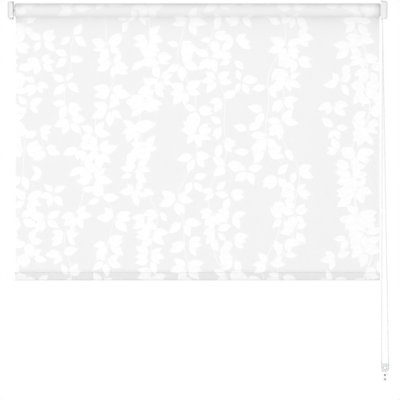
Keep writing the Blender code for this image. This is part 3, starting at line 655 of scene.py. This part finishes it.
def stretched(tree, place, factors):
    """A place with its axes stretched, for grain that runs one way."""
    node = node_of(tree, "ShaderNodeVectorMath", {"operation": "MULTIPLY"})
    feed(tree, node.inputs[0], place)
    feed(tree, node.inputs[1], factors)
    return node.outputs[0]


print("node helpers ready")

# %% [markdown]
# The stem group says how far a vine has wandered sideways at a height. Two slow sine waves with a
# different start for each vine are enough, and both the stems and the leaves on them ask the same
# group.

# %% Vine wander
vine, at, out = new_group("Vine Wander", [("Height", "Float", 0.0), ("Vine Number", "Float", 0.0),
                                          ("Amount", "Float", 0.03)], [("Offset", "Float")])
slow = plus(vine, times(vine, at["Height"], 11.3), times(vine, at["Vine Number"], 2.4))
quick = plus(vine, times(vine, at["Height"], 29.0), times(vine, at["Vine Number"], 1.1))
both = plus(vine, maths(vine, "SINE", slow), times(vine, maths(vine, "SINE", quick), 0.35))
offset = times(vine, both, at["Amount"])
vine.links.new(offset, out["Offset"])
print(vine.name, len(vine.nodes))

# %% [markdown]
# Leaves grow in clusters from nodes up a vine. This group finds the node just below or just above a
# spot on the cloth, and says how far the spot lies beside and above it. White noise moves each node a
# little and leaves some out, so that bare stretches of stem remain.

# %% Leaf node
knot, at, out = new_group("Leaf Node", [
    ("Across", "Float", 0.0), ("Up", "Float", 0.0), ("Shift", "Float", 0.0), ("Seed", "Float", 0.0),
    ("Spacing", "Float", 0.07), ("Vine Spacing", "Float", 0.24), ("Rows", "Float", 1000.0),
    ("Wander", "Float", 0.03)],
    [(label, "Float") for label in ("Beside", "Above", "Row", "Vine Number", "Luck")])
number = maths(knot, "FLOOR", maths(knot, "DIVIDE", at["Across"], at["Vine Spacing"]))
row_below = maths(knot, "FLOOR", maths(knot, "DIVIDE", at["Up"], at["Spacing"]))
row = plus(knot, row_below, at["Shift"])
known_row = maths(knot, "FLOORED_MODULO", row, at["Rows"])
sway = use(knot, vine, Height=times(knot, known_row, at["Spacing"]), Vine_Number=number,
           Amount=at["Wander"])["Offset"]
spot = node_of(knot, "ShaderNodeCombineXYZ", X=number, Y=known_row, Z=at["Seed"]).outputs[0]
chance = node_of(knot, "ShaderNodeTexWhiteNoise", {"noise_dimensions": "3D"}, Vector=spot)
parts = node_of(knot, "ShaderNodeSeparateColor", Color=chance.outputs["Color"]).outputs
middle = times(knot, plus(knot, number, 0.5), at["Vine Spacing"])
middle = plus(knot, middle, sway)
moved = times(knot, minus(knot, parts[0], 0.5), 0.030)
lifted = times(knot, minus(knot, parts[1], 0.5), 0.022)
beside = minus(knot, minus(knot, at["Across"], middle), moved)
height = times(knot, row, at["Spacing"])
above = minus(knot, minus(knot, at["Up"], height), lifted)
for label, value in (("Beside", beside), ("Above", above), ("Row", known_row), ("Vine Number", number),
                     ("Luck", parts[2])):
    knot.links.new(value, out[label])
print(knot.name, len(knot.nodes))

# %% [markdown]
# One leaf: an oval drawn out to a point, with a short stalk, a midrib, side veins and a fine outline
# where the pigment is thinner. Its size, slant and bend come from white noise on its node's number. A
# painted picture could be laid on the cloth, but a formula stays sharp at any size.

# %% Leaf
leaf, at, out = new_group("Leaf", [
    ("Beside", "Float", 0.0), ("Above", "Float", 0.0), ("Row", "Float", 0.0),
    ("Vine Number", "Float", 0.0), ("Luck", "Float", 0.0), ("Seed", "Float", 0.0),
    ("Leaf Length", "Float", 0.05), ("Leaf Width", "Float", 0.013), ("Stalk", "Float", 0.006),
    ("Slant", "Float", 0.2), ("Slant Spread", "Float", 0.7), ("Share", "Float", 0.8),
    ("Below", "Float", 0.0)],
    [("Print", "Float")])
spot = node_of(leaf, "ShaderNodeCombineXYZ", X=at["Vine Number"], Y=at["Row"], Z=at["Seed"]).outputs[0]
chance = node_of(leaf, "ShaderNodeTexWhiteNoise", {"noise_dimensions": "3D"}, Vector=spot)
parts = node_of(leaf, "ShaderNodeSeparateColor", Color=chance.outputs["Color"]).outputs
tilt = times(leaf, minus(leaf, parts[0], 0.5), at["Slant Spread"])
angle = plus(leaf, at["Slant"], tilt)
cosine, sine = maths(leaf, "COSINE", angle), maths(leaf, "SINE", angle)
along = plus(leaf, times(leaf, at["Beside"], cosine), times(leaf, at["Above"], sine))
along = minus(leaf, along, at["Stalk"])
off = minus(leaf, times(leaf, at["Above"], cosine), times(leaf, at["Beside"], sine))
size = plus(leaf, 0.78, times(leaf, parts[1], 0.36))
share = maths(leaf, "DIVIDE", along, times(leaf, at["Leaf Length"], size))
held = maths(leaf, "MAXIMUM", maths(leaf, "MINIMUM", share, 1.0), 0.0)
bend = times(leaf, minus(leaf, parts[2], 0.5), times(leaf, held, held))
off = plus(leaf, off, times(leaf, bend, 0.024))
swell = maths(leaf, "SINE", times(leaf, maths(leaf, "POWER", held, 0.82), math.pi))
half = times(leaf, times(leaf, swell, at["Leaf Width"]), size)
inside = minus(leaf, half, maths(leaf, "ABSOLUTE", off))
blade = step(leaf, inside, 0.0, 0.0006)
behind = times(leaf, at["Stalk"], -1.0)
on_stalk = times(leaf, maths(leaf, "LESS_THAN", share, 0.02),
                 maths(leaf, "GREATER_THAN", along, behind))
stalk = times(leaf, on_stalk, step(leaf, maths(leaf, "ABSOLUTE", off), 0.0011, 0.0007))
luck = plus(leaf, chance.outputs["Value"], times(leaf, at["Luck"], 0.55))
there = maths(leaf, "LESS_THAN", luck, at["Share"])
cover = times(leaf, maths(leaf, "MAXIMUM", blade, stalk), there)
rim = times(leaf, step(leaf, inside, 0.0021, 0.0006), 0.60)
rib = times(leaf, step(leaf, maths(leaf, "ABSOLUTE", off), 0.0009, 0.0003), 0.22)
from_rib = minus(leaf, along, maths(leaf, "ABSOLUTE", off))
veins = maths(leaf, "SINE", times(leaf, from_rib, 900.0))
veins = times(leaf, step(leaf, veins, 0.75, 1.0), 0.08)
one_side = times(leaf, step(leaf, off, -0.0004, 0.0004), 0.10)
shade = plus(leaf, plus(leaf, rib, veins), one_side)
tone = minus(leaf, 1.0, maths(leaf, "MAXIMUM", rim, shade))
mixed = node_of(leaf, "ShaderNodeMix", {"data_type": "FLOAT"}, Factor=cover)
feed(leaf, mixed.inputs[2], at["Below"])
feed(leaf, mixed.inputs[3], tone)
leaf.links.new(mixed.outputs[0], out["Print"])
print(leaf.name, len(leaf.nodes))

# %% [markdown]
# The whole print lays thin stems first and then the leaves. Three sets of vines with different spacings
# cross each other, so the clusters crowd in some places and leave bare ground in others. Each node can
# carry three leaves on either side and one that hangs down. Only the two nodes nearest to a spot reach
# it.

# %% Leaf print
leaf_print, at, out = new_group("Leaf Print", [
    ("Cloth Place", "Vector", None), ("Rows", "Float", 1000.0), ("Wander", "Float", 0.03),
    ("Stems", "Float", 1.0)], [("Print", "Float")])
place = node_of(leaf_print, "ShaderNodeSeparateXYZ", Vector=at["Cloth Place"]).outputs
ROWS_A_TURN = 2
SPACING = 2 * math.pi * ROLL_RADIUS / ROWS_A_TURN


def stems(x, below, vines, width):
    """Thin stems, one for each vine."""
    number = maths(leaf_print, "FLOOR", maths(leaf_print, "DIVIDE", x, vines))
    row = maths(leaf_print, "DIVIDE", place["Z"], SPACING)
    row = maths(leaf_print, "FLOORED_MODULO", row, at["Rows"])
    sway = use(leaf_print, vine, Height=times(leaf_print, row, SPACING), Vine_Number=number,
               Amount=at["Wander"])["Offset"]
    middle = times(leaf_print, plus(leaf_print, number, 0.5), vines)
    off = minus(leaf_print, minus(leaf_print, x, middle), sway)
    line = step(leaf_print, maths(leaf_print, "ABSOLUTE", off), width * 1.3, width * 0.8)
    return maths(leaf_print, "MAXIMUM", below, times(leaf_print, line, at["Stems"]))


def leaves(x, below, vines, seed, share, length, lift):
    """One set of vines' leaves, the two nearest nodes in turn."""
    up = plus(leaf_print, place["Z"], lift)
    for shift in (0.0, 1.0):
        spot = use(leaf_print, knot, Across=x, Up=up, Shift=shift, Seed=seed, Spacing=SPACING,
                   Vine_Spacing=vines, Rows=at["Rows"], Wander=at["Wander"])
        side = times(leaf_print, maths(leaf_print, "SIGN", spot["Beside"]), 0.37)
        mirrored = maths(leaf_print, "ABSOLUTE", spot["Beside"])
        common = dict(Above=spot["Above"], Row=spot["Row"], Vine_Number=spot["Vine Number"],
                      Luck=spot["Luck"], Leaf_Length=length, Leaf_Width=length * 0.28)
        below = use(leaf_print, leaf, Below=below, Beside=spot["Beside"], Seed=seed + 0.5,
                    Share=share * 0.8, Slant=-1.55, Slant_Spread=1.5, Stalk=0.007, **common)["Print"]
        for order, slant, stalk in ((1, 0.70, 0.004), (2, -0.62, 0.009), (3, 0.05, 0.006)):
            seeded = plus(leaf_print, side, seed + order)
            below = use(leaf_print, leaf, Below=below, Beside=mirrored, Seed=seeded, Share=share,
                        Slant=slant, Slant_Spread=1.15, Stalk=stalk, **common)["Print"]
    return below


# Each set: space between vines, start, seed, share of leaves, leaf length, lift.
sets = [(0.236, 0.050, 5.0, 0.95, 0.048, 0.010), (0.283, 0.171, 31.0, 1.00, 0.052, 0.041),
        (0.331, 0.020, 57.0, 0.90, 0.046, 0.026)]
tone = 0.0
for vines, start in (one[:2] for one in sets[:2]):
    tone = stems(plus(leaf_print, place["X"], start), tone, vines, 0.0010)
for vines, start, seed, share, length, lift in reversed(sets):
    x = plus(leaf_print, place["X"], start)
    tone = leaves(x, tone, vines, seed, share, length, lift)
leaf_print.links.new(tone, out["Print"])
print(leaf_print.name, len(leaf_print.nodes))

# %% [markdown]
# The voile is a plain weave of fine polyester threads, thick and thin by turns. Real threads could be
# modelled, but they would cross some two million times. The weave group gives the threads' height, the
# open spots between them and a slow unevenness that keeps large areas from looking flat.

# %% Weave
weave, at, out = new_group("Voile Weave", [
    ("Cloth Place", "Vector", None), ("Thread Spacing", "Float", 0.0007)],
    [("Height", "Float"), ("Open", "Float"), ("Unevenness", "Float")])
place = node_of(weave, "ShaderNodeSeparateXYZ", Vector=at["Cloth Place"]).outputs
slub = node_of(weave, "ShaderNodeTexNoise", {"noise_dimensions": "3D"}, Scale=160.0, Detail=2.0,
               Vector=stretched(weave, at["Cloth Place"], (1.0, 1.0, 9.0)))
pull = times(weave, minus(weave, slub.outputs["Fac"], 0.5), 0.5)
a = plus(weave, maths(weave, "DIVIDE", place["X"], at["Thread Spacing"]), pull)
b = plus(weave, maths(weave, "DIVIDE", place["Z"], at["Thread Spacing"]), pull)
warp = maths(weave, "ABSOLUTE", maths(weave, "SINE", times(weave, a, math.pi)))
weft = maths(weave, "ABSOLUTE", maths(weave, "SINE", times(weave, b, math.pi)))
cells = plus(weave, maths(weave, "FLOOR", a), maths(weave, "FLOOR", b))
odd = maths(weave, "FLOORED_MODULO", cells, 2.0)
lift = times(weave, odd, 0.45)
warp_high = times(weave, warp, plus(weave, 0.55, lift))
weft_high = times(weave, weft, minus(weave, 1.0, lift))
gap = times(weave, step(weave, warp, 0.42, 0.28), step(weave, weft, 0.42, 0.28))
weave.links.new(maths(weave, "MAXIMUM", warp_high, weft_high), out["Height"])
weave.links.new(gap, out["Open"])
weave.links.new(slub.outputs["Fac"], out["Unevenness"])
print(weave.name, len(weave.nodes))

# %% [markdown]
# The cloth material puts the print on the weave. Where the white pigment lies, the threads are whiter and
# a little smoother. The hung cloth takes its place on the cloth from its own position. The wound cloth
# takes it from the attribute on its layers.

# %% Cloth material
def blank(name):
    material = bpy.data.materials.new(name)
    material.use_nodes = True
    tree = material.node_tree
    tree.nodes.clear()
    shader = tree.nodes.new("ShaderNodeBsdfPrincipled")
    target = tree.nodes.new("ShaderNodeOutputMaterial")
    tree.links.new(shader.outputs[0], target.inputs[0])
    return material, tree, shader.inputs


def mix_colour(tree, factor, a, b):
    node = node_of(tree, "ShaderNodeMix", {"data_type": "RGBA"})
    feed(tree, node.inputs[0], factor)
    feed(tree, node.inputs[6], a)
    feed(tree, node.inputs[7], b)
    return node.outputs[2]


def grey(value, warm=0.0):
    return (value * (1 + warm), value, value * (1 - warm), 1.0)


def bump(tree, shader, height, strength, distance):
    node = node_of(tree, "ShaderNodeBump", Strength=strength, Distance=distance, Height=height)
    tree.links.new(node.outputs[0], shader["Normal"])


def cloth_material(name, from_attribute, ground, leaf_tone, see_through, rows, wander, stems_shown):
    material, tree, shader = blank(name)
    if from_attribute:
        place = node_of(tree, "ShaderNodeAttribute", {"attribute_name": "cloth_place"}).outputs["Vector"]
    else:
        place = own_place(tree)
    printed = use(tree, leaf_print, Cloth_Place=place, Rows=rows, Wander=wander,
                  Stems=stems_shown)["Print"]
    threads = use(tree, weave, Cloth_Place=place)
    uneven = times(tree, minus(tree, threads["Unevenness"], 0.5), 0.06)
    blend = plus(tree, 0.5, uneven, clamp=True)
    low = mix_colour(tree, blend, grey(ground * 0.97), grey(ground * 1.03))
    tree.links.new(mix_colour(tree, printed, low, grey(leaf_tone)), shader["Base Color"])
    tree.links.new(step(tree, printed, 0.0, 1.0, 0.85, 0.68), shader["Roughness"])
    bare = minus(tree, 1.0, times(tree, printed, 0.8))
    gaps = times(tree, times(tree, threads["Open"], see_through), bare)
    tree.links.new(minus(tree, 1.0, gaps), shader["Alpha"])
    bump(tree, shader, threads["Height"], 0.25, 0.00012)
    shader["Sheen Weight"].default_value = 0.05
    return material


hung_voile = cloth_material("Hung_Voile", False, 0.83, 0.925, 0.8, 1000.0, 0.03, 1.0)
# The wound copy has a darker ground and duller leaves: partly painted shade for layers with no light from
# behind them, partly the print seen softly from the cloth's back.
wound_voile_painted_shade = cloth_material("Wound_Voile_Painted_Shade", True, 0.80, 0.87, 0.0, 2.0, 0.0, 0.0)
# The hem copy is darker in ground and leaves: painted shade for the bar and the folded layer inside the
# sleeve.
hem_voile_painted_shade = cloth_material("Hem_Voile_Painted_Shade", False, 0.755, 0.885, 0.2, 1000.0, 0.03, 1.0)
print([m.name for m in (hung_voile, wound_voile_painted_shade, hem_voile_painted_shade)])

# %% [markdown]
# The caps, plugs and wheels are injection-moulded white plastic. It has a very fine grain from the
# tool, spots that shine a little more or less, and a trace of dust. Noise of four sizes gives them.
# The covers are polished more than the hidden parts, so each finish sets its own roughness.

# %% Moulded plastic
grain, at, out = new_group("Moulded Grain", [
    ("Place", "Vector", None), ("Grain Size", "Float", 2200.0)],
    [("Height", "Float"), ("Rough Spots", "Float"), ("Dust", "Float")])
fine = node_of(grain, "ShaderNodeTexNoise", Vector=at["Place"], Scale=at["Grain Size"], Detail=3.0)
slow = node_of(grain, "ShaderNodeTexNoise", Vector=at["Place"], Scale=45.0, Detail=4.0)
dust = node_of(grain, "ShaderNodeTexNoise", Vector=at["Place"], Scale=320.0, Detail=5.0, Roughness=0.7)
orange_peel = node_of(grain, "ShaderNodeTexNoise", Vector=at["Place"], Scale=520.0, Detail=2.0)
fine_part = times(grain, fine.outputs["Fac"], 0.4)
peel_part = times(grain, orange_peel.outputs["Fac"], 0.6)
grain.links.new(plus(grain, fine_part, peel_part), out["Height"])
grain.links.new(slow.outputs["Fac"], out["Rough Spots"])
grain.links.new(step(grain, dust.outputs["Fac"], 0.58, 0.80), out["Dust"])


def moulded(name, tone, rough, strength=0.12, coat=0.0, subsurface=0.0, grain_size=2200.0):
    material, tree, shader = blank(name)
    place = own_place(tree)
    surface = use(tree, grain, Place=place, Grain_Size=grain_size)
    colour = mix_colour(tree, surface["Dust"], grey(tone), grey(tone * 0.93, 0.01))
    spots = step(tree, surface["Rough Spots"], 0.3, 0.7, rough - 0.06, rough + 0.06)
    tree.links.new(colour, shader["Base Color"])
    tree.links.new(spots, shader["Roughness"])
    bump(tree, shader, surface["Height"], strength, 0.0003)
    shader["Coat Weight"].default_value = coat
    shader["Subsurface Weight"].default_value = subsurface
    shader["Subsurface Scale"].default_value = 0.002
    return material


cover_plastic = moulded("Cover_Plastic", 0.80, 0.30, coat=0.2, subsurface=0.1)
white_plastic = moulded("Acetal_Plastic", 0.82, 0.45, 0.16, subsurface=0.15)
chain_plastic = moulded("Bead_Plastic", 0.86, 0.34, 0.10, coat=0.2)
thread_white = moulded("Stitch_Thread", 0.74, 0.75, 0.3, grain_size=4000.0)
print("plastics:", cover_plastic.name, white_plastic.name, chain_plastic.name, thread_white.name)

# %% [markdown]
# The tensioner and the chain's clip are thin walls of clear moulded plastic. Seen square on, a wall hides
# little; seen along its length it gathers light and looks like a grey line. That grey is painted shade:
# walls that face up, down or sideways get a grey colour and more opacity. The direction of the surface
# decides between the two, which stays clean at any size, where bending light through every wall is slow.

# %% Clear plastic
clear_plastic, tree, shader = blank("Clear_Plastic")
place = own_place(tree)
surface = use(tree, grain, Place=place, Grain_Size=900.0)
normal = tree.nodes.new("ShaderNodeTexCoord").outputs["Normal"]
facing = node_of(tree, "ShaderNodeSeparateXYZ", Vector=normal)
flat_on = maths(tree, "ABSOLUTE", facing.outputs["Y"])
edge_on_painted_shade = step(tree, flat_on, 0.75, 0.15)
tint = mix_colour(tree, surface["Dust"], (0.86, 0.88, 0.89, 1), (0.78, 0.80, 0.81, 1))
# painted shade: walls seen edge-on get this grey instead of the clear tint
tree.links.new(mix_colour(tree, edge_on_painted_shade, tint, (0.52, 0.54, 0.55, 1)), shader["Base Color"])
tree.links.new(step(tree, edge_on_painted_shade, 0.0, 1.0, 0.09, 0.50), shader["Alpha"])
tree.links.new(step(tree, surface["Rough Spots"], 0.3, 0.7, 0.05, 0.16), shader["Roughness"])
bump(tree, shader, surface["Height"], 0.08, 0.0002)
shader["Coat Weight"].default_value = 0.4
print(clear_plastic.name)

# %% [markdown]
# Steel and aluminium parts show the direction in which they were drawn, rolled or turned. Noise
# stretched along one axis gives the lines, and a wider noise gives the mottled look of zinc plating.

# %% Metals
lines, at, out = new_group("Drawn Metal", [("Place", "Vector", None), ("Stretch", "Vector", None)],
                           [("Lines", "Float"), ("Mottle", "Float")])
streaks = node_of(lines, "ShaderNodeTexNoise", Vector=stretched(lines, at["Place"], at["Stretch"]),
                  Scale=1.0, Detail=4.0, Roughness=0.6)
mottle = node_of(lines, "ShaderNodeTexVoronoi", {"feature": "SMOOTH_F1"}, Vector=at["Place"], Scale=260.0)
lines.links.new(streaks.outputs["Fac"], out["Lines"])
lines.links.new(mottle.outputs["Distance"], out["Mottle"])


def metal(name, colour, dark, rough, stretch, mottled=0.3):
    material, tree, shader = blank(name)
    place = own_place(tree)
    surface = use(tree, lines, Place=place, Stretch=stretch)
    spots = times(tree, surface["Mottle"], mottled)
    factor = plus(tree, times(tree, surface["Lines"], 1 - mottled), spots, clamp=True)
    worn = step(tree, surface["Lines"], 0.3, 0.7, rough - 0.08, rough + 0.10)
    tree.links.new(mix_colour(tree, factor, dark, colour), shader["Base Color"])
    tree.links.new(worn, shader["Roughness"])
    bump(tree, shader, surface["Lines"], 0.15, 0.0002)
    shader["Metallic"].default_value = 1.0
    return material


zinc = metal("Zinc_Steel", (0.62, 0.63, 0.66, 1), (0.40, 0.41, 0.44, 1), 0.34, (300, 300, 40), 0.5)
spring_steel = metal("Spring_Wire", (0.48, 0.49, 0.52, 1), (0.30, 0.31, 0.33, 1), 0.28,
                     (900, 900, 900), 0.1)
aluminium = metal("Extruded_Aluminium", (0.82, 0.83, 0.84, 1), (0.66, 0.67, 0.68, 1), 0.30,
                  (6, 1600, 1600), 0.1)
print("metals:", zinc.name, spring_steel.name, aluminium.name)

# %% [markdown]
# Every piece gets its finish. The frame's own nodes keep their mesh; a small bevel softens their edges,
# as a mould's or a press tool's radius does, and catches a line of light that a sharp corner can't. As
# a modifier it leaves the mesh itself alone.

# %% Finishes on pieces
EDGE_RADIUS = 0.0003
finish_of = {
    cover_plastic: ["bar_cap_left", "bar_cap_right"],
    white_plastic: ["idle_plug", "drive_crown", "chain_wheel", "clutch_spindle", "chain_guard"],
    clear_plastic: ["tensioner_body", "tensioner_front", "chain_connector"],
    zinc: ["idle_pin", "left_bracket", "right_bracket", "tensioner_axle"],
    aluminium: ["roller_tube", "bottom_bar"],
}
made = {
    hung_voile: [cloth], wound_voile_painted_shade: [wound], hem_voile_painted_shade: [sleeve, allowance], thread_white: [stitches],
    chain_plastic: [chain], spring_steel: wraps + [pin_spring],
    cover_plastic: [left_cap, clips, right_cap], zinc: screws, white_plastic: [small_wheel],
}


def dress(obj, material):
    obj.data.materials.clear()
    obj.data.materials.append(material)


for material, objs in made.items():
    for obj in objs:
        dress(obj, material)
for material, names in finish_of.items():
    for name in names:
        dress(nodes[name], material)
        soft_edge = nodes[name].modifiers.new("mould_radius", "BEVEL")
        soft_edge.width = EDGE_RADIUS
        soft_edge.segments = 2
        soft_edge.limit_method = "ANGLE"
        soft_edge.angle_limit = math.radians(38)
        soft_edge.harden_normals = True
counts = [sum(len(group) for group in table.values()) for table in (made, finish_of)]
print("dressed", counts[0], "pieces and", counts[1], "nodes")

# %% [markdown]
# ## Light and floor
# A wide, even wall of light in front of the cloth lights it as a white studio does, and the rest of the
# surround is dimmer, so that round pieces darken softly towards their edges. The background is plain
# white. A second background that only the camera sees gives it without changing the light.

# %% World
world = bpy.data.worlds.new("White_Studio")
scene.world = world
world.use_nodes = True
tree = world.node_tree
tree.nodes.clear()
around_scene = tree.nodes.new("ShaderNodeTexCoord").outputs["Generated"]
towards = node_of(tree, "ShaderNodeSeparateXYZ", Vector=around_scene)
front = step(tree, towards.outputs["Y"], 0.45, -0.60, 0.50, 0.87)
seen = node_of(tree, "ShaderNodeBackground", Color=(1, 1, 1, 1), Strength=1.0)
lit = node_of(tree, "ShaderNodeBackground", Color=(1, 1, 1, 1), Strength=front)
chooser = tree.nodes.new("ShaderNodeMixShader")
tree.links.new(tree.nodes.new("ShaderNodeLightPath").outputs["Is Camera Ray"], chooser.inputs[0])
tree.links.new(lit.outputs[0], chooser.inputs[1])
tree.links.new(seen.outputs[0], chooser.inputs[2])
tree.links.new(chooser.outputs[0], tree.nodes.new("ShaderNodeOutputWorld").inputs[0])
print("world ready")

# %% [markdown]
# A soft box low in front lights the cloth under the roll, and one behind lights the cloth's back. Small
# lamps would throw hard shadows on so pale a cloth, and large squares of light don't.

# %% Lamps
AIM = Vector((0, 0, -0.6))


def soft_box(name, location, size, power):
    lamp = bpy.data.lights.new(name, "AREA")
    lamp.shape = "SQUARE"
    lamp.size = size
    lamp.energy = power
    obj = bpy.data.objects.new(name, lamp)
    obj.location = location
    obj.rotation_euler = (AIM - Vector(location)).to_track_quat("-Z", "Y").to_euler()
    scene.collection.objects.link(obj)
    return obj


soft_box("Front_Box", (-0.4, -5.0, -1.5), 2.2, 76)
back_box = soft_box("Back_Box", (0.5, 5.0, -1.0), 2.2, 60)
back_box.visible_camera = False
print("lamps ready")

# %% [markdown]
# The floor is a plain pale disc well below the blind. A large square would show its edge from above, so
# this one fades out towards its rim.

# %% Floor
FLOOR_Z, ring_radii, around = -1.75, (0.8, 1.6, 2.4, 3.0), 64
points = [(0, 0, FLOOR_Z)]
for radius in ring_radii:
    for k in range(around):
        a = 2 * math.pi * k / around
        points.append((radius * math.cos(a), radius * math.sin(a), FLOOR_Z))
faces = [(0, 1 + k, 1 + (k + 1) % around) for k in range(around)]
faces += [tuple(reversed(face)) for face in bridge(len(ring_radii), around, True, 1)]
floor = piece("Floor", points, faces)
material, tree, shader = blank("Pale_Floor")
place = own_place(tree)
far = node_of(tree, "ShaderNodeVectorMath", {"operation": "LENGTH"}).outputs["Value"]
tree.links.new(place, far.node.inputs[0])
speckle = node_of(tree, "ShaderNodeTexNoise", Vector=place, Scale=60.0, Detail=3.0).outputs["Fac"]
tree.links.new(mix_colour(tree, speckle, grey(0.80), grey(0.84)), shader["Base Color"])
tree.links.new(step(tree, far, 2.2, 3.45, 1.0, 0.0), shader["Alpha"])
shader["Roughness"].default_value = 0.6
dress(floor, material)
print("floor ready")
